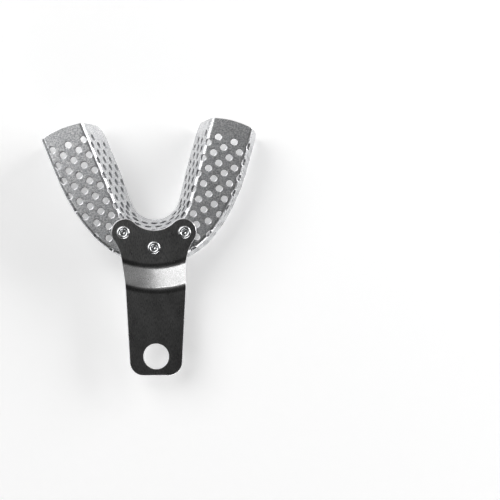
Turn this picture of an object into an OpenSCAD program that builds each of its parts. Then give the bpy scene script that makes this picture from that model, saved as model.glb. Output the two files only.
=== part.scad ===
// Perforated lower-jaw impression tray with a riveted handle.
// The trough opens downwards and both flange rims stand on z = 0.
// +Y runs towards the open ends of the two arms, -Y along the handle.

/* [Pressed tray] */
// thickness of the tray's sheet
sheet = 0.9; // [0.6:0.05:1.5]
// height of the floor's upper face above the rims
floor_z = 17.5; // [12:0.5:24]
// angle of each arm from the middle line
arm_angle = 18.8; // [10:0.2:26]
// radius of the inner bend line round the front of the arch
arc_r = 13.3; // [9:0.1:18]
// y of the centre of that inner arc
arc_y = 20.0; // [10:0.1:30]
// length of each arm's straight inner bend line, measured to the end's corners
arm_len = 32.0; // [20:0.2:45]
// how far the middle of an arm's end bows out past its corners
end_bow = 1.1; // [0:0.1:3]
// turn of the trimmed arm ends against the pressed arch
end_turn = 1.5; // [-3:0.5:3]
// radius of the outer bend line round the front
front_r = 27.3; // [20:0.1:36]
// how far the front arc's centre sits behind the inner arc's
front_shift = 2.6; // [0:0.1:6]
// half angle that the front arc covers
front_half = 50; // [30:1:60]
// radius of the outer bend line along the sides
side_r = 67.4; // [45:0.2:120]

/* [Flanges] */
// outside radius of the inner bend
bend_in = 2.0; // [1.5:0.1:3]
// outside radius of the outer bend
bend_out = 1.5; // [1.4:0.1:4]
// lean of the inner flange from upright
splay_in = 15.5; // [5:0.5:25]
// lean of the outer flange from upright
splay_out = 3.5; // [1:0.5:20]
// height of the inner rim above the outer one at the front of the arch
rim_rise = 2.0; // [0:0.1:5]
// y at which the inner rim is back down on z = 0
rise_end = 28.7; // [20:0.5:36]
// corner radius at the free end of the inner flange
corner_in = 6; // [2:0.5:9]
// corner radius at the free end of the outer flange
corner_out = 2.5; // [1:0.5:6]

/* [Perforation] */
// diameter of the punched holes
hole_d = 2.3; // [1.5:0.1:3]
// distance from one row of holes to the next
row_pitch = 2.93; // [2.5:0.01:4]
// distance between holes along a row
hole_pitch = 5.79; // [4.5:0.01:8]
// angle between holes round the front arc
turn_pitch = 17.9; // [12:0.1:24]
// turn of the punched pattern against the pressed arch
blank_turn = 2.5; // [-4:0.5:4]

/* [Handle] */
// thickness of the handle's plate
plate = 1.5; // [1:0.1:2.5]
// radius of the two ears round the rear rivets
ear_r = 4.8; // [4:0.1:6]
// turn of the handle and its rivets against the pressed arch
handle_turn = 3.2; // [-4:0.1:4]
// shift of the handle and its rivets towards +X
handle_shift = 0.77; // [-1:0.01:1]
// half width of the neck
neck_w = 11.3; // [9:0.1:14]
// y of the neck
neck_y = -7; // [-10:0.5:-5]
// radius of the waists between neck and ears
waist_r = 16; // [12:1:24]
// half width of the grip's end, before its corners
tip_w = 9.2; // [6:0.1:12]
// y of the grip's end
tip_y = -45.6; // [-60:0.1:-35]
// corner radius of the grip's end
tip_r = 5; // [2:0.1:8]
// radius of the hanging hole
hang_r = 4.65; // [3:0.05:6]
// y of the hanging hole
hang_y = -38.7; // [-50:0.1:-30]
// slope of the step between plate and grip
step_angle = 45; // [30:1:60]
// distance from the arc's centre at which the step starts
step_start = 27.6; // [26:0.1:34]
// distance from the arc's centre at which the step ends
step_end = 39; // [36:0.1:46]
// radius of the step's upper bend
step_top_r = 3.5; // [2:0.1:6]
// radius of the step's lower bend, on the upper face
step_low_r = 4; // [2:0.1:6]

/* [Rivets] */
// half distance between the two rear rivets
rivet_x = 10.87; // [8:0.1:14]
// y of the two rear rivets
rivet_y = 5.9; // [2:0.1:9]
// y of the front rivet
rivet_front_y = 0.45; // [-3:0.05:2]
// radius of the rivet's shank
shank_r = 1.45; // [1:0.05:2]
// gap between a shank and its holes
shank_gap = 0.1; // [0.05:0.05:0.3]
// radius of the rolled end on the handle
roll_r = 2.3; // [2:0.05:3]
// radius of the formed head inside the trough
head_r = 2.3; // [2:0.05:2.8]
// height of the formed head
head_h = 0.9; // [0.5:0.1:1.5]

/* [Hidden] */
$fn = 120;
bend_steps = 6;
front_steps = 9;
side_steps = 6;
mid_angle = 90 - arm_angle;
flat_in = bend_in * tan((90 - splay_in) / 2);
flat_out = bend_out * tan((90 - splay_out) / 2);
arc_c = [0, arc_y];
front_c = [0, arc_y + front_shift];
side_c = front_c + (front_r - side_r) * ray(front_half);
arm_w = (side_c - arc_c) * ray(mid_angle) + side_r - arc_r;
bow_r = (arm_w * arm_w / 4 + end_bow * end_bow) / (2 * end_bow);
handle_z = floor_z + plate;
rivets = [[-rivet_x, rivet_y], [rivet_x, rivet_y], [0, rivet_front_y]];
// the punched rows: offset across the strip, first hole along an arm in odd and even rows, last hole
row_shift = 0.15;
first_odd = 3.05;
first_even = 0.1;
last_along = 27.5;
// how far down the inner flange the rows reach, round the front and along an arm
front_reach = 12.3;
arm_reach = 20;
// the front rows spread down the inner flange by this factor in the middle
front_stretch = 1.75;
// metal left round a hole: least height of its centre, height over the raised rim, gap to a rivet
low_hole = 2.4;
rim_land = 1.9;
rivet_land = 0.9;
// how much earlier than the bowed end the rounded corners of the two flanges end
inner_back = 0.85;
outer_back = 0.4;
// an ear's centre, seen from its rivet
ear_shift = [-0.57, 0.1];
// depth over which the head's rim is straight
head_edge = 0.2;
// radius of a rivet's rolled lip, and the height of its centre over the plate
roll = 0.64;
roll_z = 0.05;
// half section of the space inside a rivet's rolled end
hollow = [[0, 1], [1.5, 1], [1.15, 0.3], [0.75, -0.5], [0.65, -0.9], [0, -0.9]];
far = 70;

// unit vector in plan, turned by a from -Y
function ray(a) = [sin(a), -cos(a)];
// unit vector along the right arm
arm_dir = [sin(arm_angle), cos(arm_angle)];

// part of a ring between two directions
module bend_ring(centre, outer, inner, from, to) {
    translate(centre) intersection() {
        difference() {
            circle(outer);
            circle(inner);
        }
        polygon([[0, 0], 2 * outer * from, 2 * outer * (from + to), 2 * outer * to]);
    }
}

// [foot on the inner bend line, its outward direction, foot on the outer one, its direction]
// at step k along the right half of the arch; the last step is past the arm's end
function station(k) =
    let (side_k = k - front_steps, n = front_steps + side_steps, past = arm_len + end_bow + 1,
         a_in = mid_angle * min(k, n) / n,
         a_out = side_k <= 0 ? front_half * k / front_steps
             : front_half + (mid_angle - front_half) * min(side_k, side_steps) / side_steps)
    k > n ? [arc_c + arc_r * ray(a_in) + past * arm_dir, ray(a_in),
             arc_c + (arc_r + arm_w) * ray(a_in) + past * arm_dir, ray(a_in)]
    : [arc_c + arc_r * ray(a_in), ray(a_in),
       side_k <= 0 ? front_c + front_r * ray(a_out) : side_c + side_r * ray(a_out), ray(a_out)];

// points down one side of the section, depth under the outer face, as [outwards, height]
function side_profile(depth, r, splay, flat, rim_z) =
    let (full = 90 - splay,
         bend = [for (i = [0 : bend_steps]) let (a = full * i / bend_steps)
             [-flat + (r - depth) * sin(a), floor_z - r + (r - depth) * cos(a)]],
         last = bend[bend_steps])
    concat(bend, [[last[0] + (last[1] - rim_z) * tan(splay), rim_z]]);

// height of the inner rim at y, raised at the front
function inner_rim_z(y) =
    let (top_y = arc_y - arc_r + floor_z * tan(splay_in), run = rise_end - top_y,
         r = (run * run + rim_rise * rim_rise) / (2 * rim_rise), q = max(0, y - top_y))
    q < run ? rim_rise - r + sqrt(r * r - q * q) : 0;

// a point of the section, placed at its foot and facing dir
function raised(foot, dir, point) = [foot[0] + point[0] * dir[0], foot[1] + point[0] * dir[1], point[1]];

// one face of the sheet at a station, from the inner rim over the floor to the outer rim
function face_line(st, depth) =
    let (rim_y = st[0][1] - floor_z * tan(splay_in) * st[1][1],
         inner = side_profile(depth, bend_in, splay_in, flat_in, inner_rim_z(rim_y)),
         outer = side_profile(depth, bend_out, splay_out, flat_out, 0))
    concat([for (i = [bend_steps + 1 : -1 : 0]) raised(st[0], -st[1], inner[i])],
           [for (q = outer) raised(st[2], st[3], q)]);

// the whole section as a closed ring of points; left is mirrored from right
function ring(k) =
    let (st = station(abs(k)), above = face_line(st, 0), below = face_line(st, sheet),
         all = concat(above, [for (i = [len(below) - 1 : -1 : 0]) below[i]]))
    k < 0 ? [for (q = all) [-q[0], q[1], q[2]]] : all;

// the pressed sheet before its ends are trimmed: rings of the section joined along the arch
module pressed_sheet() {
    last = front_steps + side_steps + 1;
    rings = [for (k = [-last : last]) ring(k)];
    n = len(rings[0]);
    polyhedron(
        points = [for (r = rings, q = r) q],
        faces = concat(
            [[for (i = [0 : n - 1]) i]],
            [for (k = [0 : 2 * last - 1], i = [0 : n - 1]) let (j = (i + 1) % n)
                [k * n + i, (k + 1) * n + i, (k + 1) * n + j, k * n + j]],
            [[for (i = [n - 1 : -1 : 0]) 2 * last * n + i]]));
}

// everything beyond the bowed end of the right arm, turned by skew
module arm_end_cut(skew) {
    half = arm_w / 2;
    translate(arc_c) rotate(-arm_angle - skew) {
        difference() {
            translate([arc_r - 9, arm_len - 4, -9]) cube([arm_w + 18, far + 9, floor_z + 18]);
            translate([arc_r + half, arm_len + end_bow - bow_r, -10])
                cylinder(r = bow_r, h = floor_z + 20);
        }
        corner_cut(arc_r - 9, 8.6, corner_in, arm_len - inner_back);
        corner_cut(arc_r + arm_w + 0.1, 8, corner_out, arm_len - outer_back);
    }
}

// rounds the lower corner of a flange whose end is at y
module corner_cut(x, wide, r, y) {
    difference() {
        translate([x, y - r, -1]) cube([wide, r + 4, r + 1]);
        translate([x - 1, y - r, r]) rotate([0, 90, 0]) cylinder(r = r, h = wide + 2);
    }
}

// where the sheet is, v past the start of a bend: [outwards, height, turn]
function past_bend(v, r, splay, flat) =
    let (full = 90 - splay, reach = r * full * PI / 180,
         a = v < reach ? v / r * 180 / PI : full, q = max(0, v - reach))
    [-flat + r * sin(a) + q * cos(a), floor_z - r * (1 - cos(a)) - q * sin(a), a];

// position against the outer bend line: [gap beyond it, plan angle], for x >= 0
function outer_at(p) =
    let (a = atan2(p[0], front_c[1] - p[1]),
         b = atan2(p[0] - side_c[0], side_c[1] - p[1]))
    a <= front_half ? [norm(p - front_c) - front_r, a]
    : b <= mid_angle ? [norm(p - side_c) - side_r, b]
    : [(p - arc_c) * ray(mid_angle) - arc_r - arm_w, mid_angle];

// distance from a plan point to the nearest rivet
function rivet_gap(p) = min([for (r = rivets) norm(p - turned(r))]);
// a rivet's place after turn_handle()
function turned(p) = let (d = p - arc_c, c = cos(handle_turn), s = sin(handle_turn))
    arc_c + [handle_shift + d[0] * c + d[1] * s, d[1] * c - d[0] * s];

// one hole through the bend or flange at plan point base, facing plan angle a, clear of the rim
module flange_hole(base, a, at, rim_z) {
    out = at[0] * ray(a);
    if (at[1] > max(low_hole, rim_z + rim_land))
        translate([base[0] + out[0], base[1] + out[1], at[1]]) rotate([0, at[2], a - 90])
            cylinder(d = hole_d, h = 3, center = true, $fn = 32);
}

// a hole at plan point p; tau is its distance outwards from the inner bend line at foot
module punch(p, foot, a, tau, stretch, limit) {
    o = outer_at([abs(p[0]), p[1]]);
    if (tau < flat_in) {
        if (-tau * stretch < limit)
            let (at = past_bend(tau > 0 ? flat_in - tau : flat_in - tau * stretch,
                                bend_in, splay_in, flat_in))
                flange_hole(foot, a + 180, at, inner_rim_z(foot[1] - at[0] * ray(a)[1]));
    } else if (o[0] > -flat_out) {
        side = p[0] < 0 ? -1 : 1;
        flange_hole(p - o[0] * ray(side * o[1]), side * o[1],
            past_bend(o[0] + flat_out, bend_out, splay_out, flat_out), 0);
    } else if (rivet_gap(p) > hole_d / 2 + shank_r + rivet_land)
        translate([p[0], p[1], floor_z - sheet / 2])
            cylinder(d = hole_d, h = 3, center = true, $fn = 32);
}

// staggered rows, following the arms and turning round the front
module perforation() {
    for (row = [-5 : 10]) {
        odd = row % 2 != 0;
        tau = row * row_pitch + row_shift;
        for (i = odd ? [-3.5 : 3.5] : [-3 : 3]) {
            a = i * turn_pitch - blank_turn;
            punch(arc_c + (arc_r + tau) * ray(a), arc_c + arc_r * ray(a), a, tau,
                  front_stretch - (front_stretch - 1) * min(1, abs(a) / mid_angle), front_reach);
        }
        for (side = [-1, 1], i = [0 : 4]) {
            along = (odd ? first_odd : first_even) + i * hole_pitch;
            c = (arc_r + tau) * cos(blank_turn) + side * along * sin(blank_turn);
            s = along * cos(blank_turn) - side * (arc_r + tau) * sin(blank_turn);
            foot = arc_c + arc_r * [side * cos(arm_angle), -sin(arm_angle)]
                + s * [side * sin(arm_angle), cos(arm_angle)];
            p = foot + (c - arc_r) * [side * cos(arm_angle), -sin(arm_angle)];
            if (along < last_along + 0.2 * min(0, tau))
                punch(p, foot, side * mid_angle, c - arc_r, 1, arm_reach);
        }
    }
}

// room for the three shanks
module rivet_holes(z, h) {
    for (r = rivets) translate([r[0], r[1], z]) cylinder(r = shank_r + shank_gap, h = h, $fn = 48);
}

// turns the handle and the rivets about the inner arc's centre
module turn_handle() {
    translate(arc_c + [handle_shift, 0]) rotate(-handle_turn) translate(-arc_c) children();
}

module tray_body() {
    color([0.80, 0.81, 0.82]) difference() {
        pressed_sheet();
        arm_end_cut(end_turn);
        mirror([1, 0, 0]) arm_end_cut(-end_turn);
        perforation();
        turn_handle() rivet_holes(floor_z - 3, 6);
    }
}

// upright block with the outline of the handle
module handle_block() {
    ear = [rivet_x, rivet_y] + ear_shift;
    dip_y = arc_y - arc_r;
    rise = dip_y - ear[1];
    dip_r = (ear[0] * ear[0] + rise * rise - ear_r * ear_r) / (2 * (ear_r - rise));
    taper = atan((neck_w - tip_w) / (neck_y - tip_y));
    along = [sin(taper), cos(taper)];
    out = [cos(taper), -sin(taper)];
    beside_neck = [neck_w, neck_y] + waist_r * out;
    from_ear = beside_neck - ear;
    back = from_ear * along;
    lift = -back - sqrt(back * back - from_ear * from_ear + pow(waist_r + ear_r, 2));
    waist = beside_neck + lift * along;
    tip = [tip_w + tip_r * tan(taper) - tip_r / cos(taper), tip_y + tip_r];
    tall = floor_z + 9;
    right = [ear + [-1, 4.5], ear, ear + [3, -2], ear + [4, -3], waist - waist_r * out,
             tip + tip_r * out, tip, [tip[0], tip_y]];
    difference() {
        union() {
            linear_extrude(tall) polygon(concat(right,
                [for (i = [len(right) - 1 : -1 : 0]) [-right[i][0], right[i][1]]]));
            for (m = [-1, 1]) {
                translate([m * ear[0], ear[1], 0]) cylinder(r = ear_r, h = tall);
                translate([m * tip[0], tip[1], 0]) cylinder(r = tip_r, h = tall);
            }
        }
        translate([0, dip_y + dip_r, -1]) cylinder(r = dip_r, h = tall + 2);
        for (m = [-1, 1]) translate([m * waist[0], waist[1], -1])
            cylinder(r = waist_r, h = tall + 2, $fn = 240);
    }
}

// one piece of the handle: its section turned about the arc's centre, cut to the outline
module handle_piece() {
    intersection() {
        handle_block();
        translate(front_c) rotate_extrude(angle = 110, start = 215, $fn = 360) children();
    }
}

// flat plate, upper bend, ramp, lower bend and grip
module stepped_plate() {
    a = step_angle;
    slope = [sin(a), cos(a)];
    run = step_end - step_start - (step_top_r + step_low_r) * sin(a);
    upper = [step_start, handle_z - step_top_r];
    ramp = upper + step_top_r * slope;
    lower = [step_end, ramp[1] - run * tan(a) + step_low_r * cos(a)];
    foot = lower - step_low_r * slope;
    handle_piece() translate([6, floor_z]) square([step_start - 6, plate]);
    handle_piece() bend_ring(upper, step_top_r, step_top_r - plate, [0, 1], slope);
    handle_piece() polygon([ramp, ramp - plate * slope, foot - plate * slope, foot]);
    handle_piece() bend_ring(lower, step_low_r + plate, step_low_r, -slope, [0, -1]);
    handle_piece() translate([step_end, lower[1] - step_low_r - plate])
        square([far - step_end, plate]);
}

module handle() {
    color([0.34, 0.34, 0.35]) turn_handle() difference() {
        stepped_plate();
        translate([0, hang_y, -1]) cylinder(r = hang_r, h = floor_z + 9);
        rivet_holes(floor_z - 3, 9);
    }
}

// semi-tubular rivet: formed head below, rolled end above
module rivet(at) {
    grip = plate + sheet;
    drop = head_h - head_edge;
    ball_r = (head_r * head_r + drop * drop) / (2 * drop);
    color([0.72, 0.73, 0.74]) turn_handle() translate([at[0], at[1], handle_z])
        rotate_extrude($fn = 72) difference() {
            union() {
                translate([0, -grip]) square([shank_r, grip]);
                translate([0, -grip - head_edge]) square([head_r, head_edge]);
                intersection() {
                    translate([0, -grip - head_h + ball_r]) circle(ball_r);
                    translate([0, -grip - head_h]) square([head_r, drop]);
                }
                intersection() {
                    translate([roll_r - roll, roll_z]) circle(roll, $fn = 48);
                    square([roll_r, 1]);
                }
            }
            polygon(hollow);
        }
}

module rivet_left() { rivet(rivets[0]); }
module rivet_right() { rivet(rivets[1]); }
module rivet_front() { rivet(rivets[2]); }

tray_body();
handle();
rivet_left();
rivet_right();
rivet_front();
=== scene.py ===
import math

import bpy
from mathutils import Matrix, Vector
from mathutils.geometry import delaunay_2d_cdt
from mathutils.kdtree import KDTree


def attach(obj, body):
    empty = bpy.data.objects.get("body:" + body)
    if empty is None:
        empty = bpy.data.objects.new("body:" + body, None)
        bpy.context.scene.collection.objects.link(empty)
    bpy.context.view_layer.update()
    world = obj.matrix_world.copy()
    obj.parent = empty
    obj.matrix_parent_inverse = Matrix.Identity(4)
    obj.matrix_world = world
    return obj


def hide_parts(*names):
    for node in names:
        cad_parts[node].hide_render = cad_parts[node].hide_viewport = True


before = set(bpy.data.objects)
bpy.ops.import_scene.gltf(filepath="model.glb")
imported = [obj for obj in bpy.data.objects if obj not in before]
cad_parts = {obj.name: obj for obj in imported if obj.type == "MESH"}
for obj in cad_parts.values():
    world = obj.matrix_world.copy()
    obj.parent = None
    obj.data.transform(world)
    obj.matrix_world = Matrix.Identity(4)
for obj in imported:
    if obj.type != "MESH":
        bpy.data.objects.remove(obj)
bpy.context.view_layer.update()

# ---------------------------------------------------------------- sizes, in millimetres and degrees
MM = 0.001

# the tray's sheet, and its plan: an inner arc, straight arms, and a front arc that runs into wider sides
SHEET = 0.9
FLOOR_Z = 17.5
ARM_ANGLE = 18.8
MID_ANGLE = 90 - ARM_ANGLE
ARC_R, ARC_C = 13.3, Vector((0, 20.0))
FRONT_R, FRONT_C = 27.3, ARC_C + Vector((0, 2.6))
FRONT_HALF = 50
SIDE_R = 67.4

# the arms' ends, bowed and cut askew
ARM_LEN = 32.0
END_BOW, END_TURN = 1.1, 1.5

# the flanges: bend, lean from upright, corners at the arms' ends and how far back those lie
BEND_IN, SPLAY_IN = 2.0, 15.5
BEND_OUT, SPLAY_OUT = 1.5, 3.5
CORNER_IN, CORNER_OUT = 6.0, 2.5
BACK_IN, BACK_OUT = 0.85, 0.4
# the inner rim is raised at the front and comes down to the level of the others by RISE_END
RIM_RISE, RISE_END = 2.0, 28.7

# the punched pattern: rows along the arms and round the front, turned a little against the pressing
HOLE_R = 1.15
ROWS = range(-5, 11)
ROW_PITCH, HOLE_PITCH, TURN_PITCH = 2.93, 5.79, 17.9
ROW_SHIFT, FIRST_ODD, FIRST_EVEN = 0.15, 3.05, 0.1
BLANK_TURN = 2.5
# the sheet is drawn longer at the front, which spreads the rows on its inner flange
FRONT_STRETCH = 1.75
# where the punching stops: along the arms, down the inner flange, and near rims and rivets
LAST_ALONG, LAST_SLOPE = 27.5, 0.2
FRONT_REACH, ARM_REACH = 12.3, 20
LOWEST_HOLE, RIM_LAND, RIVET_LAND = 2.4, 1.9, 0.9

# the handle: plate, ears, waist, neck, tip, hanging hole and the step's two bends
PLATE = 1.5
HANDLE_Z = FLOOR_Z + PLATE
HANDLE_TURN, HANDLE_SHIFT = 3.2, 0.77
EAR, EAR_R = Vector((10.30, 6.0)), 4.8
WAIST_R = 16.0
NECK_W, NECK_Y = 11.3, -7.0
TIP_W, TIP_Y, TIP_R = 9.2, -45.59, 5.0
HANG_R, HANG_Y = 4.65, -38.7
STEP_ANGLE, STEP_START, STEP_END = 45, 27.6, 39.0
STEP_TOP_R, STEP_LOW_R = 3.5, 4.0

# the rivets: shank and its play, formed head, rolled end, and the hollow's wall as (radius, height)
RIVETS = {"rivet_left": (-10.87, 5.9), "rivet_right": (10.87, 5.9), "rivet_front": (0, 0.45)}
SHANK_R, SHANK_GAP = 1.45, 0.1
HEAD_R, HEAD_H, HEAD_EDGE, HEAD_ROUND = 2.3, 0.9, 0.2, 0.1
ROLL_R, ROLL, ROLL_Z, ROLL_END = 2.3, 0.64, 0.048, 158
HOLLOW = ((1.0, 0.02), (0.86, -0.28), (0.76, -0.52), (0.66, -0.68), (0.48, -0.78), (0.25, -0.83), (0, -0.85))

# rounding of the cut edges, and what is left between the lips of two holes that are close together
EDGE_ROUND, HOLE_ROUND, PLATE_ROUND = 0.36, 0.32, 0.28
BORE_ROUND, HANG_ROUND = 0.05, 0.1
LIP_ROOM = 0.04

# how much the flat pattern is drawn in across the inner flange, so that it doesn't meet itself
SQUEEZE = 0.5

# mesh: points round a hole, room between a seed and an edge or another seed, and the shortest edge
HOLE_STEPS, BORE_STEPS, HANG_STEPS, RIVET_STEPS = 28, 24, 72, 72
TRAY_ROOM, HANDLE_ROOM = 0.2, 0.3
SEED_ROOM = 0.12
SHORTEST = 0.02


# ---------------------------------------------------------------- plan geometry
def ray(angle):
    """Unit vector in plan, turned by angle from -Y."""
    return Vector((math.sin(math.radians(angle)), -math.cos(math.radians(angle))))


ARM_DIR = Vector((math.sin(math.radians(ARM_ANGLE)), math.cos(math.radians(ARM_ANGLE))))
SIDE_C = FRONT_C + (FRONT_R - SIDE_R) * ray(FRONT_HALF)
ARM_W = (SIDE_C - ARC_C).dot(ray(MID_ANGLE)) + SIDE_R - ARC_R
FLAT_IN = BEND_IN * math.tan(math.radians(90 - SPLAY_IN) / 2)
FLAT_OUT = BEND_OUT * math.tan(math.radians(90 - SPLAY_OUT) / 2)
BOW_R = (ARM_W * ARM_W / 4 + END_BOW * END_BOW) / (2 * END_BOW)


def side_of(p):
    return -1 if p.x < 0 else 1


def inner_at(p):
    """Distance outwards from the inner bend line, and the plan angle it is measured at."""
    d = p - ARC_C
    angle = math.degrees(math.atan2(d.x, -d.y))
    if abs(angle) <= MID_ANGLE:
        return d.length - ARC_R, angle
    angle = side_of(p) * MID_ANGLE
    return d.dot(ray(angle)) - ARC_R, angle


def outer_at(p):
    """Distance beyond the outer bend line, and the plan angle it is measured at."""
    side = side_of(p)
    q = Vector((abs(p.x), p.y))
    a = math.degrees(math.atan2(q.x, FRONT_C.y - q.y))
    b = math.degrees(math.atan2(q.x - SIDE_C.x, SIDE_C.y - q.y))
    if a <= FRONT_HALF:
        return (q - FRONT_C).length - FRONT_R, side * a
    if b <= MID_ANGLE:
        return (q - SIDE_C).length - SIDE_R, side * b
    return (q - ARC_C).dot(ray(MID_ANGLE)) - ARC_R - ARM_W, side * MID_ANGLE


def mirrored(points):
    return [Vector((-p.x, p.y)) for p in points]


def rotated(d, degrees):
    """A plan vector turned counter-clockwise."""
    c, s = math.cos(math.radians(degrees)), math.sin(math.radians(degrees))
    return Vector((d.x * c - d.y * s, d.y * c + d.x * s))


def turned(p):
    """A plan point of the handle or a rivet, put in its place on the tray."""
    return ARC_C + Vector((HANDLE_SHIFT, 0)) + rotated(Vector(p) - ARC_C, -HANDLE_TURN)


def bow_end(x, side):
    """How far along the left (-1) or right (1) arm its end is, at x out from the inner bend line."""
    middle = Vector((ARC_R + ARM_W / 2, ARM_LEN + END_BOW - BOW_R))
    middle = rotated(middle, -side * END_TURN)
    return middle.y + math.sqrt(BOW_R ** 2 - (x + ARC_R - middle.x) ** 2)


# ---------------------------------------------------------------- the flanges' section
class Flange:
    """The upper face's section from the floor through the bend to the rim, outwards from the bend line."""

    def __init__(self, radius, splay, flat):
        self.radius, self.splay, self.flat = radius, splay, flat
        self.full = 90 - splay
        self.reach = radius * math.radians(self.full)
        self.side = Vector((math.sin(math.radians(self.full)), math.cos(math.radians(self.full))))
        self.down = Vector((self.side.y, -self.side.x))
        self.centre = Vector((-flat, FLOOR_Z - radius))

    def at(self, w):
        """(outwards, height, turn from flat) at length w past the start of the bend."""
        if w < self.reach:
            a = w / self.radius
            p = self.centre + self.radius * Vector((math.sin(a), math.cos(a)))
            return p.x, p.y, math.degrees(a)
        p = self.centre + self.radius * self.side + (w - self.reach) * self.down
        return p.x, p.y, self.full

    def length_to(self, out, z):
        """The length past the start of the bend that is nearest to a point of the section."""
        d = Vector((out, z)) - self.centre
        if d.x <= 0:
            return d.x
        if math.degrees(math.atan2(d.x, d.y)) < self.full:
            return self.radius * math.atan2(d.x, d.y)
        return self.reach + d.dot(self.down)

    def length_at_height(self, z):
        """The length past the start of the bend at which the flange's outer face is at height z."""
        end = self.centre.y + self.radius * self.side.y
        return self.reach + (end - z) / self.side.x


INNER = Flange(BEND_IN, SPLAY_IN, FLAT_IN)
OUTER = Flange(BEND_OUT, SPLAY_OUT, FLAT_OUT)


def upright(p, z):
    return Vector((p.x, p.y, z))


def tray_surface(q):
    """Point and normal of the tray's upper face at a point of its flat pattern."""
    past, angle = inner_at(q)
    if past < FLAT_IN:
        out, z, turn = INNER.at((FLAT_IN - past) / SQUEEZE)
        foot, away = q - past * ray(angle), -ray(angle)
    else:
        gap, angle = outer_at(q)
        if gap <= -FLAT_OUT:
            return upright(q, FLOOR_Z), Vector((0, 0, 1))
        out, z, turn = OUTER.at(gap + FLAT_OUT)
        foot, away = q - gap * ray(angle), ray(angle)
    turn = math.radians(turn)
    return upright(foot + out * away, z), upright(away * math.sin(turn), math.cos(turn))


def tray_pattern(p):
    """The flat pattern's point for a point on or near the tray's upper face."""
    q = p.xy
    past, angle = inner_at(q)
    if past < FLAT_IN:
        w = INNER.length_to(-past, p.z)
        return q + (FLAT_IN - SQUEEZE * w - past) * ray(angle)
    gap, angle = outer_at(q)
    if gap > -FLAT_OUT:
        w = OUTER.length_to(gap, p.z)
        return q + (w - FLAT_OUT - gap) * ray(angle)
    return q


# ---------------------------------------------------------------- perforation
def hole_here(p, foot, angle, past, stretch, reach):
    """A punched hole as (centre, normal), or None where the blank isn't punched.

    p is in the blank's plan, and past is its distance outwards from foot, on the inner bend line, at a
    plan angle. Down the inner flange that distance is stretched, and the holes end at reach.
    """
    if past < FLAT_IN:
        if -past * stretch >= reach:
            return None
        out, z, turn = INNER.at(FLAT_IN - past if past > 0 else FLAT_IN - past * stretch)
        away = -ray(angle)
        centre = foot + out * away
    else:
        gap, angle = outer_at(p)
        if gap <= -FLAT_OUT:
            room = min((p - turned(r)).length for r in RIVETS.values())
            if room <= HOLE_R + SHANK_R + RIVET_LAND:
                return None
            return upright(p, FLOOR_Z), Vector((0, 0, 1))
        out, z, turn = OUTER.at(gap + FLAT_OUT)
        away = ray(angle)
        centre = p - gap * away + out * away
    rim = inner_rim_z(centre.y) if past < FLAT_IN else 0
    if z <= max(LOWEST_HOLE, rim + RIM_LAND):
        return None
    turn = math.radians(turn)
    return upright(centre, z), upright(away * math.sin(turn), math.cos(turn))


def front_holes(row, past):
    """A row's holes round the front: eight in an odd row, and seven between those in an even one."""
    count = 8 if row % 2 else 7
    for i in range(count):
        angle = (i - (count - 1) / 2) * TURN_PITCH - BLANK_TURN
        stretch = FRONT_STRETCH - (FRONT_STRETCH - 1) * min(1, abs(angle) / MID_ANGLE)
        foot = ARC_C + ARC_R * ray(angle)
        yield hole_here(ARC_C + (ARC_R + past) * ray(angle), foot, angle, past, stretch, FRONT_REACH)


def arm_holes(row, past, side):
    """A row's holes along the left (-1) or right (1) arm."""
    turn = math.radians(BLANK_TURN)
    across = ray(side * MID_ANGLE)
    ahead = Vector((side * ARM_DIR.x, ARM_DIR.y))
    for i in range(5):
        along = (FIRST_ODD if row % 2 else FIRST_EVEN) + i * HOLE_PITCH
        if along >= LAST_ALONG + LAST_SLOPE * min(0, past):
            continue
        c = (ARC_R + past) * math.cos(turn) + side * along * math.sin(turn)
        s = along * math.cos(turn) - side * (ARC_R + past) * math.sin(turn)
        foot = ARC_C + ARC_R * across + s * ahead
        yield hole_here(foot + (c - ARC_R) * across, foot, side * MID_ANGLE, c - ARC_R, 1, ARM_REACH)


def punched_holes():
    for row in ROWS:
        past = row * ROW_PITCH + ROW_SHIFT
        found = list(front_holes(row, past))
        for side in (-1, 1):
            found += arm_holes(row, past, side)
        yield from (h for h in found if h)


def hole_ring(centre, normal, radius, steps, to_pattern):
    """A circle round a hole's centre, put into the flat pattern, clockwise."""
    across = normal.cross(Vector((0, 0, 1)))
    across = across.normalized() if across.length > 1e-6 else Vector((1, 0, 0))
    up = normal.cross(across)
    turns = [-2 * math.pi * k / steps for k in range(steps)]
    return [to_pattern(centre + radius * (math.cos(a) * across + math.sin(a) * up)) for a in turns]


# ---------------------------------------------------------------- outlines
def flange_end(flange, start_x, sign, side, corner_r, corner_y):
    """An arm's end down one flange: [(length past the bend, distance along the arm)], floor first."""
    corner_y -= math.sin(math.radians(side * END_TURN)) * (ARC_R + start_x)
    lift = SHEET * math.cos(math.radians(flange.full))
    rim = flange.length_at_height(lift)
    heights = [corner_r * (1 - math.cos(math.radians(a))) + lift for a in range(0, 91, 10)]
    lengths = [flange.reach * k / 6 for k in range(6)] + [flange.length_at_height(z) for z in heights[::-1]]
    gap = flange.length_at_height(heights[-1]) - flange.reach
    lengths += [flange.reach + gap * k / 6 for k in range(6)]
    points = []
    for w in sorted(lengths):
        out, z, _ = flange.at(min(w, rim))
        along = bow_end(start_x + sign * out, side)
        drop = max(0.0, corner_r - (z - lift))
        corner = corner_y - corner_r + math.sqrt(max(0.0, corner_r ** 2 - drop ** 2))
        points.append((min(w, rim), min(along, corner) if z - lift < corner_r else along))
    return points


def inner_rim_z(y):
    """Height of the inner rim over the others, at a place from front to back."""
    top_y = ARC_C.y - ARC_R + FLOOR_Z * math.tan(math.radians(SPLAY_IN))
    run = RISE_END - top_y
    r = (run * run + RIM_RISE ** 2) / (2 * RIM_RISE)
    q = max(0.0, y - top_y)
    return RIM_RISE - r + math.sqrt(r * r - q * q) if q < run else 0.0


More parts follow.
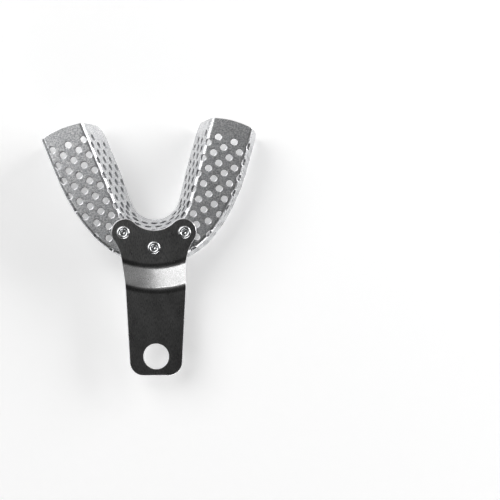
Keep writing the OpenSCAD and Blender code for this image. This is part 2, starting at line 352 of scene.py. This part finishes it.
def inner_rim_length(foot, angle):
    """Length past the bend at which the inner flange ends."""
    w = INNER.length_at_height(0)
    out = INNER.at(w)[0]
    y = foot.y - out * ray(angle).y
    return INNER.length_at_height(inner_rim_z(y) + SHEET * math.cos(math.radians(INNER.full)))


def spaced(start, end, step):
    """Even values from start to end, no more than step apart."""
    count = max(1, math.ceil(abs(end - start) / step))
    return [start + (end - start) * k / count for k in range(count + 1)]


def half_outline(side):
    """The edge of the left or right half from the front's middle, as if it were the right one."""
    rim_out = OUTER.length_at_height(SHEET * math.cos(math.radians(OUTER.full))) - FLAT_OUT
    half = [FRONT_C + (FRONT_R + rim_out) * ray(a) for a in spaced(0, FRONT_HALF, 2)]
    half += [SIDE_C + (SIDE_R + rim_out) * ray(a) for a in spaced(FRONT_HALF, MID_ANGLE, 1)[1:]]
    across = ray(MID_ANGLE)
    inner_line = ARC_C + ARC_R * across
    outer_line = inner_line + ARM_W * across
    end = flange_end(OUTER, ARM_W, 1, side, CORNER_OUT, ARM_LEN - BACK_OUT)
    seam = (SIDE_C - ARC_C).dot(ARM_DIR)
    for along in spaced(seam, end[-1][1], 1)[1:-1]:
        half.append(outer_line + rim_out * across + along * ARM_DIR)
    half += [outer_line + (w - FLAT_OUT) * across + along * ARM_DIR for w, along in end[::-1]]
    for x in spaced(ARM_W - FLAT_OUT, FLAT_IN, 0.8)[1:-1]:
        half.append(inner_line + x * across + bow_end(x, side) * ARM_DIR)
    end = flange_end(INNER, 0, -1, side, CORNER_IN, ARM_LEN - BACK_IN)
    half += [inner_line + (FLAT_IN - SQUEEZE * w) * across + along * ARM_DIR for w, along in end]
    for along in spaced(end[-1][1], 0, 1)[1:]:
        w = inner_rim_length(inner_line + along * ARM_DIR, MID_ANGLE)
        half.append(inner_line + (FLAT_IN - SQUEEZE * w) * across + along * ARM_DIR)
    for a in spaced(MID_ANGLE, 0, 4)[1:]:
        w = inner_rim_length(ARC_C + ARC_R * ray(a), a)
        half.append(ARC_C + (ARC_R + FLAT_IN - SQUEEZE * w) * ray(a))
    clean = [half[0]]
    for p in half[1:]:
        if (p - clean[-1]).length > SHORTEST:
            clean.append(p)
    return clean


def tray_outline():
    """The tray's edge in its flat pattern, counter-clockwise."""
    return half_outline(1) + mirrored(half_outline(-1)[-2:0:-1])


def drawn_in(loop, surface, to_pattern, by):
    """A closed loop of the pattern moved by a true distance to its left, along the surface."""
    places = [surface(q) for q in loop]
    moved = []
    for k, (p, normal) in enumerate(places):
        ahead = places[(k + 1) % len(places)][0] - places[k - 1][0]
        left = normal.cross(ahead).normalized()
        moved.append(to_pattern(p + by * left))
    return moved


def tray_seeds():
    """Points of the flat pattern that give its bends and walls enough faces.

    They lie in rows along both flanges, at lengths past the start of the bend, close together in it.
    """
    rows_in = [INNER.reach * k / 9 for k in range(10)] + spaced(INNER.reach, 16.5, 1.3)[1:]
    rows_in += [-0.3, -1.2, -2.8, -4.8]
    rows_out = [OUTER.reach * k / 12 for k in range(13)] + spaced(OUTER.reach, 18.0, 1.4)[1:]
    rows_out += [-0.15, -0.6, -1.4, -2.4, -3.6]
    past_in = [FLAT_IN - SQUEEZE * w for w in rows_in]
    past_out = [w - FLAT_OUT for w in rows_out]
    across = ray(MID_ANGLE)
    arm = []
    for t in past_in:
        line = ARC_C + (ARC_R + t) * across
        arm += [line + s * ARM_DIR for s in spaced(0.5, ARM_LEN - 0.5, 0.9)]
    past_seam = 17.6
    for t in past_out:
        arm += [SIDE_C + (SIDE_R + t) * ray(a) for a in spaced(FRONT_HALF + 1, MID_ANGLE, 0.8)]
        line = ARC_C + (ARC_R + ARM_W + t) * across
        arm += [line + s * ARM_DIR for s in spaced(past_seam, ARM_LEN - 0.6, 0.9)]
    seeds = mirrored(arm) + arm
    for t in past_in:
        seeds += [ARC_C + (ARC_R + t) * ray(a) for a in spaced(-MID_ANGLE, MID_ANGLE, 3.4)]
    for t in past_out:
        seeds += [FRONT_C + (FRONT_R + t) * ray(a) for a in spaced(-FRONT_HALF, FRONT_HALF, 1.8)]
    return seeds


# ---------------------------------------------------------------- sheet meshes
# values of the sheets' edge attribute, which is 0 on a punched wall; there it darkens the wall, partly as the
# cut surface's own tone and partly as painted shade
PLAIN, BURNISHED = 0.5, 1.0


def inside(point, loop):
    """Whether a plan point is inside a closed loop."""
    hit = False
    for k in range(len(loop)):
        a, b = loop[k - 1], loop[k]
        if (a.y > point.y) != (b.y > point.y):
            if point.x < (b.x - a.x) * (point.y - a.y) / (b.y - a.y) + a.x:
                hit = not hit
    return hit


def clear_of(seeds, loops, room):
    """The seeds inside the first loop and outside the others, with room round them, thinned out."""
    points = [p for loop in loops for p in loop]
    tree = KDTree(len(points))
    for i, p in enumerate(points):
        tree.insert((p.x, p.y, 0), i)
    tree.balance()
    middles = KDTree(len(loops) - 1)
    for i, loop in enumerate(loops[1:]):
        middle = sum(loop, Vector((0, 0))) / len(loop)
        middles.insert((middle.x, middle.y, 0), i + 1)
    middles.balance()
    thinned = []
    cells = {}
    for p in seeds:
        at = (p.x, p.y, 0)
        if tree.find(at)[2] < room or not inside(p, loops[0]):
            continue
        if inside(p, loops[middles.find(at)[1]]):
            continue
        cell = (round(p.x / SEED_ROOM), round(p.y / SEED_ROOM))
        near = ((cell[0] + i, cell[1] + j) for i in (-1, 0, 1) for j in (-1, 0, 1))
        if any((cells[c] - p).length < SEED_ROOM for c in near if c in cells):
            continue
        cells[cell] = p
        thinned.append(p)
    return thinned


def trimmed_edge(depth, rounding):
    """A rounded cut edge: [(share of the way out to the edge, depth, tilt of the normal)]."""
    turns = [(tilt, math.radians(tilt)) for tilt in (30, 60, 90)]
    upper = [(math.sin(a), rounding * (1 - math.cos(a)), tilt) for tilt, a in turns]
    return upper + [(out, depth - down, 180 - tilt) for out, down, tilt in upper[::-1]]


def punched_edge(depth, rounding):
    """A punched hole's edge: a shallow rolled lip above, a straight wall and a small chamfer below."""
    lip = [(0.5, 0.06 * rounding, 13), (0.94, 0.28 * rounding, 30), (1, 0.4 * rounding, 90)]
    return lip + [(1, depth - 0.05, 90), (0.8, depth - 0.01, 165)]


def triangles_between(loops, seeds):
    """Triangles of the pattern inside its first loop and outside the others.

    Returns the points, the triangles, and for each point its place among the given ones, or -1.
    """
    flat, edges, owner = [], [], []
    for k, loop in enumerate(loops):
        base = len(flat)
        flat += loop
        owner += [k] * len(loop)
        edges += [(base + i, base + (i + 1) % len(loop)) for i in range(len(loop))]
    owner += [-1] * len(seeds)
    points, _, tris, origin, _, _ = delaunay_2d_cdt(flat + seeds, edges, [], 0, 1e-7, True)
    source = [o[0] if o else -1 for o in origin]
    own = [owner[i] if i >= 0 else -1 for i in source]
    faces = []
    for tri in tris:
        owners = {own[i] for i in tri}
        if len(owners) == 1 and min(owners) > 0:
            continue
        a, b, c = (points[i] for i in tri)
        if 0 in owners and not inside((a + b + c) / 3, loops[0]):
            continue
        faces.append(tri if (b - a).cross(c - a) >= 0 else (tri[0], tri[2], tri[1]))
    return points, faces, source


def edge_rings(surface, loop, drawn, section):
    """Rings of (point, normal) down a cut edge, one for each step of its section."""
    ways = [surface(q)[0] - surface(start)[0] for q, start in zip(loop, drawn)]
    for out, down, tilt in section:
        tilt = math.radians(tilt)
        ring = []
        for q, start, way in zip(loop, drawn, ways):
            p, normal = surface(start + out * (q - start))
            away = (way - way.dot(normal) * normal).normalized()
            ring.append((p - down * normal, math.cos(tilt) * normal + math.sin(tilt) * away))
        yield ring


def sheet_mesh(name, surface, depth, outline, holes, seeds):
    """A closed mesh of a bent and pierced sheet.

    outline and holes are (loop in the pattern, the loop drawn in from it, rounding); the first is
    counter-clockwise, and a hole's drawn-in loop lies outside it.
    """
    loops = [outline] + holes
    points, faces, source = triangles_between([drawn for _, drawn, _ in loops], seeds)
    used = sorted({i for tri in faces for i in tri})
    slot = {i: n for n, i in enumerate(used)}
    at_source = {source[i]: slot[i] for i in used if source[i] >= 0}
    places = [surface(points[i]) for i in used]
    verts = [p for p, _ in places] + [p - depth * n for p, n in places]
    normals = [n for _, n in places] + [-n for _, n in places]
    tones = [PLAIN] * len(verts)
    count = len(used)
    polys = [tuple(slot[i] for i in tri) for tri in faces]
    polys += [tuple(slot[i] + count for i in reversed(tri)) for tri in faces]
    base = 0
    for k, (loop, drawn, rounding) in enumerate(loops):
        size = len(loop)
        upper = [at_source[base + i] for i in range(size)]
        last = [i + count for i in upper]
        base += size
        section = (punched_edge if k else trimmed_edge)(depth, rounding)
        for ring, (_, _, tilt) in zip(edge_rings(surface, loop, drawn, section), section):
            lower = range(len(verts), len(verts) + size)
            verts += [p for p, _ in ring]
            normals += [n for _, n in ring]
            # a hole's rings get a tone that falls as they tilt, darkening its rolled lip a little and its
            # wall fully: painted shade, and on the wall also the cut surface's own darker tone
            tones += [PLAIN * (1 - math.sin(math.radians(tilt))) if k else BURNISHED] * size
            polys += band(upper, lower)
            upper = lower
        polys += band(upper, last)
    piece = mesh_object(name, verts, polys)
    piece.data.normals_split_custom_set_from_vertices([n.normalized() for n in normals])
    piece.data.attributes.new("edge_tone_and_shade", "FLOAT", "POINT").data.foreach_set("value", tones)
    return piece


def band(upper, lower):
    """Faces between two rings of as many points."""
    return [(upper[i], upper[i - 1], lower[i - 1], lower[i]) for i in range(len(upper))]


def mesh_object(name, verts, polys):
    """A smooth object in the scene, from points in millimetres."""
    mesh = bpy.data.meshes.new(name)
    mesh.from_pydata([v * MM for v in verts], [], polys)
    mesh.update()
    mesh.shade_smooth()
    obj = bpy.data.objects.new(name, mesh)
    bpy.context.scene.collection.objects.link(obj)
    return obj


def plan_of(p):
    """A level sheet's pattern is its plan."""
    return p.xy


def tray_sheet():
    """The pressed and punched sheet."""
    edge = tray_outline()
    outline = (edge, drawn_in(edge, tray_surface, tray_pattern, EDGE_ROUND), EDGE_ROUND)
    holes = []
    punched = list(punched_holes())
    for centre, normal in punched:
        gap = min((centre - other).length for other, _ in punched if other is not centre)
        lip = min(HOLE_ROUND, gap / 2 - HOLE_R - LIP_ROOM)
        radii = (HOLE_R, HOLE_R + lip)
        rings = [hole_ring(centre, normal, r, HOLE_STEPS, tray_pattern) for r in radii]
        holes.append((*rings, lip))
    holes += [flat_hole(turned(at), SHANK_R + SHANK_GAP, BORE_ROUND, BORE_STEPS) for at in RIVETS.values()]
    loops = [outline[1]] + [drawn for _, drawn, _ in holes]
    seeds = clear_of(tray_seeds(), loops, TRAY_ROOM)
    return sheet_mesh("tray_sheet", tray_surface, SHEET, outline, holes, seeds)


def flat_hole(spot, radius, rounding, steps):
    """A hole through a level part of a sheet."""
    level = Vector((0, 0, 1))
    rings = [hole_ring(upright(spot, 0), level, r, steps, plan_of) for r in (radius, radius + rounding)]
    return (*rings, rounding)


# ---------------------------------------------------------------- handle
def step_places():
    """Centres of the step's two bends, in its section, and the two ends of its ramp."""
    a = math.radians(STEP_ANGLE)
    slope = Vector((math.sin(a), math.cos(a)))
    run = STEP_END - STEP_START - (STEP_TOP_R + STEP_LOW_R) * slope.x
    upper = Vector((STEP_START, HANDLE_Z - STEP_TOP_R))
    ramp = upper + STEP_TOP_R * slope
    foot = ramp + Vector((run, -run * math.tan(a)))
    return upper, ramp, foot, foot + STEP_LOW_R * slope


UPPER, RAMP, FOOT, LOWER = step_places()


def handle_section(radius):
    """Height of the handle's upper face and its slope in radians, at a radius from the front's centre."""
    if radius <= STEP_START:
        return HANDLE_Z, 0
    if radius < RAMP.x:
        a = math.asin((radius - UPPER.x) / STEP_TOP_R)
        return UPPER.y + STEP_TOP_R * math.cos(a), a
    if radius <= FOOT.x:
        return RAMP.y - (radius - RAMP.x) * math.tan(math.radians(STEP_ANGLE)), math.radians(STEP_ANGLE)
    if radius < STEP_END:
        a = math.asin((STEP_END - radius) / STEP_LOW_R)
        return LOWER.y - STEP_LOW_R * math.cos(a), a
    return LOWER.y - STEP_LOW_R, 0


def handle_surface(q):
    """Point and normal of the placed handle's upper face, from a plan point before placing."""
    d = q - FRONT_C
    z, slope = handle_section(d.length)
    away = rotated(d.normalized(), -HANDLE_TURN)
    return upright(turned(q), z), upright(away * math.sin(slope), math.cos(slope))


def unturned(p):
    """The plan point of the handle, before it is put in place, for a point of the placed one."""
    return ARC_C + rotated(p.xy - ARC_C - Vector((HANDLE_SHIFT, 0)), HANDLE_TURN)


def arc(centre, radius, start, end, step=4):
    """Points of an arc between two angles in degrees from +X, without the first."""
    turns = spaced(start, end, step)[1:]
    return [centre + radius * Vector((math.cos(math.radians(t)), math.sin(math.radians(t)))) for t in turns]


def bearing(a, b):
    """Angle from +X at which b lies from a."""
    return math.degrees(math.atan2(b.y - a.y, b.x - a.x))


def handle_outline():
    """The handle's edge in plan, counter-clockwise."""
    dip_y = ARC_C.y - ARC_R
    rise = dip_y - EAR.y
    dip_r = (EAR.x ** 2 + rise ** 2 - EAR_R ** 2) / (2 * (EAR_R - rise))
    dip = Vector((0, dip_y + dip_r))
    taper = math.atan((NECK_W - TIP_W) / (NECK_Y - TIP_Y))
    along = Vector((math.sin(taper), math.cos(taper)))
    out = Vector((along.y, -along.x))
    beside_neck = Vector((NECK_W, NECK_Y)) + WAIST_R * out
    back = (beside_neck - EAR).dot(along)
    reach = (WAIST_R + EAR_R) ** 2 - (beside_neck - EAR).length_squared
    waist = beside_neck + (-back - math.sqrt(back * back + reach)) * along
    tip = Vector((TIP_W + TIP_R * math.tan(taper) - TIP_R / math.cos(taper), TIP_Y + TIP_R))
    half = [Vector((x, TIP_Y)) for x in spaced(0, tip.x, 1)]
    half += arc(tip, TIP_R, -90, -math.degrees(taper))
    low, high = half[-1], waist - WAIST_R * out
    half += [low.lerp(high, t) for t in spaced(0, 1, 0.025)[1:]]
    half += arc(waist, WAIST_R, 180 - math.degrees(taper), bearing(waist, EAR), 2)
    half += arc(EAR, EAR_R, bearing(EAR, waist), bearing(EAR, dip))
    half += arc(dip, dip_r, bearing(dip, EAR), -90)
    return half + mirrored(half[-2:0:-1])


def handle_seeds():
    """Rings of points round the front's centre, close together in the step's two bends."""
    rows = spaced(13, STEP_START, 2.5) + spaced(STEP_START, RAMP.x, 0.3)[1:]
    rows += spaced(RAMP.x, FOOT.x, 0.9)[1:] + spaced(FOOT.x, STEP_END, 0.3)[1:]
    rows += spaced(STEP_END, FRONT_C.y - TIP_Y, 2.5)[1:]
    return [FRONT_C + radius * ray(a) for radius in rows for a in spaced(-50, 50, 80 / radius)]


def handle_plate():
    """The stamped plate with its step."""
    edge = handle_outline()
    outline = (edge, drawn_in(edge, handle_surface, unturned, PLATE_ROUND), PLATE_ROUND)
    holes = [flat_hole(Vector(at), SHANK_R + SHANK_GAP, BORE_ROUND, BORE_STEPS) for at in RIVETS.values()]
    holes.append(flat_hole(Vector((0, HANG_Y)), HANG_R, HANG_ROUND, HANG_STEPS))
    loops = [outline[1]] + [drawn for _, drawn, _ in holes]
    seeds = clear_of(handle_seeds(), loops, HANDLE_ROOM)
    return sheet_mesh("handle_plate", handle_surface, PLATE, outline, holes, seeds)


# ---------------------------------------------------------------- rivets
def rivet_profile():
    """Half section of a rivet from its head's middle to its hollow's: [(radius, height over the plate)]."""
    grip = PLATE + SHEET
    drop = HEAD_H - HEAD_EDGE
    ball = (HEAD_R ** 2 + drop ** 2) / (2 * drop)
    ball_c = Vector((0, -grip - HEAD_H + ball))
    rim = Vector((HEAD_R, -grip - HEAD_EDGE))
    points = [ball_c - Vector((0, ball))] + arc(ball_c, ball, -90, bearing(ball_c, rim) - 2, 3)
    points += arc(Vector((HEAD_R - HEAD_ROUND, -grip - HEAD_ROUND)), HEAD_ROUND, -30, 90, 30)
    points += [Vector((SHANK_R, -grip)), Vector((SHANK_R, 0))]
    roll_c = Vector((ROLL_R - ROLL, ROLL_Z))
    low = math.degrees(math.asin(ROLL_Z / ROLL))
    points += [roll_c + ROLL * Vector((math.cos(math.radians(low)), -math.sin(math.radians(low))))]
    points += arc(roll_c, ROLL, -low, ROLL_END, 12)
    return points + [Vector(p) for p in HOLLOW]


def rivet(name, at):
    """A turned rivet: its section swept round, with one point at each end of the axis."""
    spot = turned(at)
    section = rivet_profile()
    turns = [2 * math.pi * k / RIVET_STEPS for k in range(RIVET_STEPS)]
    verts = [upright(spot, HANDLE_Z + section[0].y)]
    for p in section[1:-1]:
        verts += [upright(spot + p.x * Vector((math.cos(a), math.sin(a))), HANDLE_Z + p.y) for a in turns]
    verts.append(upright(spot, HANDLE_Z + section[-1].y))
    rings = [range(base, base + RIVET_STEPS) for base in range(1, len(verts) - 1, RIVET_STEPS)]
    first, last = rings[0], rings[-1]
    polys = [(0, first[k], first[k - 1]) for k in range(RIVET_STEPS)]
    for lower, upper in zip(rings, rings[1:]):
        polys += band(upper, lower)
    polys += [(last[k - 1], last[k], len(verts) - 1) for k in range(RIVET_STEPS)]
    piece = mesh_object(name, verts, polys)
    piece.data.set_sharp_from_angle(angle=math.radians(40))
    return piece


# ---------------------------------------------------------------- materials
class NodeTree:
    """Short calls for making the nodes of a material or of the world."""

    def __init__(self, tree):
        self.tree = tree

    def fill(self, socket, value):
        if isinstance(value, bpy.types.NodeSocket):
            self.tree.links.new(value, socket)
        else:
            socket.default_value = value

    def node(self, kind, *values, **named):
        """A new node. Names in lower case are its settings, others its sockets; values fill the first."""
        made = self.tree.nodes.new(kind)
        for key, value in named.items():
            if key[0].islower():
                setattr(made, key, value)
            else:
                self.fill(made.inputs[key.replace("_", " ")], value)
        for socket, value in zip(made.inputs, values):
            self.fill(socket, value)
        return made

    def share(self, value, start, end, low=0.0, high=1.0, **setting):
        """A value from start to end, made to run from low to high."""
        return self.node("ShaderNodeMapRange", value, start, end, low, high, **setting).outputs["Result"]

    def ramp(self, fac, stops):
        """A colour ramp over stops of (place, colour)."""
        made = self.node("ShaderNodeValToRGB", fac)
        elements = made.color_ramp.elements
        for at, _ in stops[2:]:
            elements.new(at)
        for element, (at, colour) in zip(elements, stops):
            element.position = at
            element.color = (*colour, 1)
        return made.outputs["Color"]

    def mix(self, share, first, second):
        """The first colour, and the second one as far as the share says."""
        made = self.node("ShaderNodeMix", data_type="RGBA", Factor=share, A=first, B=(*second, 1))
        return made.outputs["Result"]


class Shading(NodeTree):
    """The nodes of one material, placed by the object's own coordinates."""

    def __init__(self, name):
        self.material = bpy.data.materials.new(name)
        self.material.use_nodes = True
        super().__init__(self.material.node_tree)
        self.place = self.node("ShaderNodeTexCoord").outputs["Object"]

    def stretched(self, scale, turn):
        """The object's coordinates, scaled by axis after a turn round Z."""
        rotation = (0, 0, math.radians(turn))
        made = self.node("ShaderNodeMapping", Vector=self.place, Scale=scale, Rotation=rotation)
        return made.outputs["Vector"]

    def noise(self, vector, scale, detail, roughness=0.6):
        made = self.node("ShaderNodeTexNoise", Vector=vector, Scale=scale, Detail=detail, Roughness=roughness)
        return made.outputs["Fac"]

    def edges(self, skin, punched, burnished):
        """The skin, brighter along burnished edges, and darker on punched walls and lips: partly the cut
        surface's own tone, partly painted shade that is deepest where they don't face up.
        """
        tone = self.node("ShaderNodeAttribute", attribute_name="edge_tone_and_shade").outputs["Fac"]
        normal = self.node("ShaderNodeNewGeometry").outputs["Normal"]
        upward = self.node("ShaderNodeSeparateXYZ", normal).outputs["Z"]
        # painted shade: punched walls and lips darken as their tone falls, most where their normal doesn't
        # point up; on the walls this is also the cut surface's own darker tone
        wall = self.share(tone, PLAIN, 0.0)
        shaded = self.share(upward, 0.1, 0.8, 1.0, 0.3)
        dark = self.node("ShaderNodeMath", wall, shaded, operation="MULTIPLY").outputs["Value"]
        return self.mix(self.share(tone, PLAIN, 1.0), self.mix(dark, skin, punched), burnished)

    def bump(self, height, strength, distance, **below):
        """A bumped normal, which may lie over another one given as Normal."""
        made = self.node("ShaderNodeBump", Height=height, Strength=strength, Distance=distance, **below)
        return made.outputs["Normal"]

    def feed(self, **sockets):
        """The material, with its shader's sockets filled."""
        shader = self.tree.nodes["Principled BSDF"]
        for key, value in sockets.items():
            self.fill(shader.inputs[key.replace("_", " ")], value)
        return self.material


def grey(level):
    return (level, level, level)


def aluminium():
    """Pressed sheet with a fine, mottled satin skin."""
    metal = Shading("satin_aluminium")
    mottle = metal.noise(metal.place, 1900, 4, 0.7)
    cloud = metal.noise(metal.place, 240, 4)
    grain = metal.noise(metal.place, 3200, 3)
    dull = (0.45, 0.46, 0.48)
    skin = metal.ramp(mottle, ((0.4, dull), (0.6, grey(0.93))))
    skin = metal.mix(metal.share(cloud, 0.45, 0.62, 0.0, 0.35), skin, dull)
    # punched walls and lips near black: partly the cut surface's own tone, partly painted shade; burnished
    # cut edges bright
    skin = metal.edges(skin, (0.15, 0.15, 0.16), grey(0.98))
    normal = metal.bump(grain, 0.4, 0.00004, Normal=metal.bump(mottle, 0.45, 0.00008))
    rough = metal.share(cloud, 0.3, 0.7, 0.31, 0.38)
    return metal.feed(Base_Color=skin, Metallic=1.0, Roughness=rough, Normal=normal)


def steel():
    """Stamped plate, brushed along its length."""
    metal = Shading("brushed_steel")
    lines = metal.noise(metal.stretched((4200, 900, 4200), -HANDLE_TURN), 1, 4, 0.7)
    wear = metal.noise(metal.stretched((300, 140, 300), -HANDLE_TURN), 1, 3)
    skin = metal.ramp(lines, ((0.4, grey(0.17)), (0.6, grey(0.31))))
    # punched walls and lips near black: partly the cut surface's own tone, partly painted shade; burnished
    # cut edges bright
    skin = metal.edges(skin, grey(0.10), (0.72, 0.72, 0.73))
    rough = metal.share(wear, 0.3, 0.7, 0.27, 0.31)
    return metal.feed(Base_Color=skin, Metallic=1.0, Roughness=rough, Normal=metal.bump(lines, 0.22, 0.00003))


def rivet_metal():
    """Bright turned metal with small tool marks."""
    metal = Shading("rivet_metal")
    marks = metal.noise(metal.place, 1800, 4)
    skin = metal.ramp(marks, ((0.3, (0.66, 0.67, 0.68)), (0.7, (0.86, 0.87, 0.88))))
    rough = metal.share(marks, 0.3, 0.7, 0.20, 0.32)
    return metal.feed(Base_Color=skin, Metallic=1.0, Roughness=rough, Normal=metal.bump(marks, 0.2, 0.00005))


def floor_paper():
    """White paper that glows a little, as when it is lit from below too."""
    paper = Shading("floor_paper")
    fibres = paper.noise(paper.place, 400, 3)
    skin = paper.ramp(fibres, ((0.3, grey(0.90)), (0.7, grey(0.93))))
    return paper.feed(Base_Color=skin, Roughness=0.8, Specular_IOR_Level=0.2,
                      Emission_Color=(1, 1, 1, 1), Emission_Strength=0.29)


def finish_with(piece, material):
    piece.data.materials.clear()
    piece.data.materials.append(material)


# ---------------------------------------------------------------- studio
FLOOR_HALF = 2500
WORLD_LEVEL = 0.75
# (height of the direction, from 0 at the horizon to 1 overhead, level of the surroundings there)
HEIGHT_LEVELS = ((0.0, 1.0), (0.30, 0.85), (0.58, 0.20), (0.90, 0.05), (1.0, 0.04))
# level of the surroundings where they show beyond the floor
SEEN_LEVEL = 0.86
# dark sides of the surroundings: (direction, where the dimming starts and ends, level inside)
DARK_SIDES = (((0.94, -0.34, 0), 0.28, 0.62, 0.05), ((-0.71, -0.44, 0.55), 0.70, 0.88, 0.02))


def studio_floor():
    corners = [Vector((x, y, 0)) * FLOOR_HALF for x, y in ((-1, -1), (1, -1), (1, 1), (-1, 1))]
    floor = mesh_object("studio_floor", corners, [(0, 1, 2, 3)])
    finish_with(floor, floor_paper())


def soft_light(name, bearing_deg, height_deg, distance, size, power):
    """A light of a width and height, at a bearing from +X and an angle over the floor."""
    data = bpy.data.lights.new(name, "AREA")
    data.shape, data.energy = "RECTANGLE", power
    data.size, data.size_y = size
    light = bpy.data.objects.new(name, data)
    b, h = math.radians(bearing_deg), math.radians(height_deg)
    away = Vector((math.cos(b) * math.cos(h), math.sin(b) * math.cos(h), math.sin(h)))
    light.location = away * distance
    light.rotation_euler = away.to_track_quat("Z", "Y").to_euler()
    light.visible_camera = False
    bpy.context.scene.collection.objects.link(light)


def studio_world():
    """Pale low down, dim overhead and dark on two sides, as under a camera in a light tent."""
    world = bpy.data.worlds.new("studio")
    world.use_nodes = True
    sky = NodeTree(world.node_tree)
    direction = sky.node("ShaderNodeTexCoord").outputs["Generated"]
    height = sky.node("ShaderNodeSeparateXYZ", direction).outputs["Z"]
    shown = sky.ramp(height, [(at, grey(level)) for at, level in HEIGHT_LEVELS])
    for toward, start, end, level in DARK_SIDES:
        side = sky.node("ShaderNodeVectorMath", direction, toward, operation="DOT_PRODUCT")
        dim = sky.share(side.outputs["Value"], start, end, 1.0, level, interpolation_type="SMOOTHSTEP")
        shown = sky.node("ShaderNodeVectorMath", shown, operation="SCALE", Scale=dim).outputs["Vector"]
    seen = sky.node("ShaderNodeLightPath").outputs["Is Camera Ray"]
    back = sky.tree.nodes["Background"]
    sky.fill(back.inputs["Color"], sky.mix(seen, shown, grey(SEEN_LEVEL)))
    back.inputs["Strength"].default_value = WORLD_LEVEL
    bpy.context.scene.world = world


def studio_camera():
    """Straight above and off to one side, turned a little against the tray."""
    data = bpy.data.cameras.new("camera")
    data.lens, data.sensor_width = 97.3, 36
    camera = bpy.data.objects.new("camera", data)
    camera.location = (0.0336, -0.0024, 0.4975)
    camera.rotation_euler = (0, 0, math.radians(-3.5))
    bpy.context.scene.collection.objects.link(camera)
    bpy.context.scene.camera = camera


# ---------------------------------------------------------------- the object
def place_piece(piece, node, material):
    """Gives a piece its material, and lets it stand for its CAD node."""
    finish_with(piece, material)
    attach(piece, "root")
    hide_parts(node)


bpy.context.scene.view_settings.view_transform = "Standard"
studio_camera()
studio_world()
studio_floor()
soft_light("key", bearing_deg=138, height_deg=48, distance=0.9, size=(0.85, 0.74), power=5.3)
soft_light("fill", bearing_deg=18, height_deg=17, distance=0.9, size=(0.7, 0.4), power=7)
soft_light("low_card", bearing_deg=-69, height_deg=5, distance=0.6, size=(0.64, 0.16), power=2.2)

place_piece(tray_sheet(), "tray_body", aluminium())
place_piece(handle_plate(), "handle", steel())
rivet_finish = rivet_metal()
for rivet_name, rivet_at in RIVETS.items():
    place_piece(rivet("semi_tubular_" + rivet_name, rivet_at), rivet_name, rivet_finish)
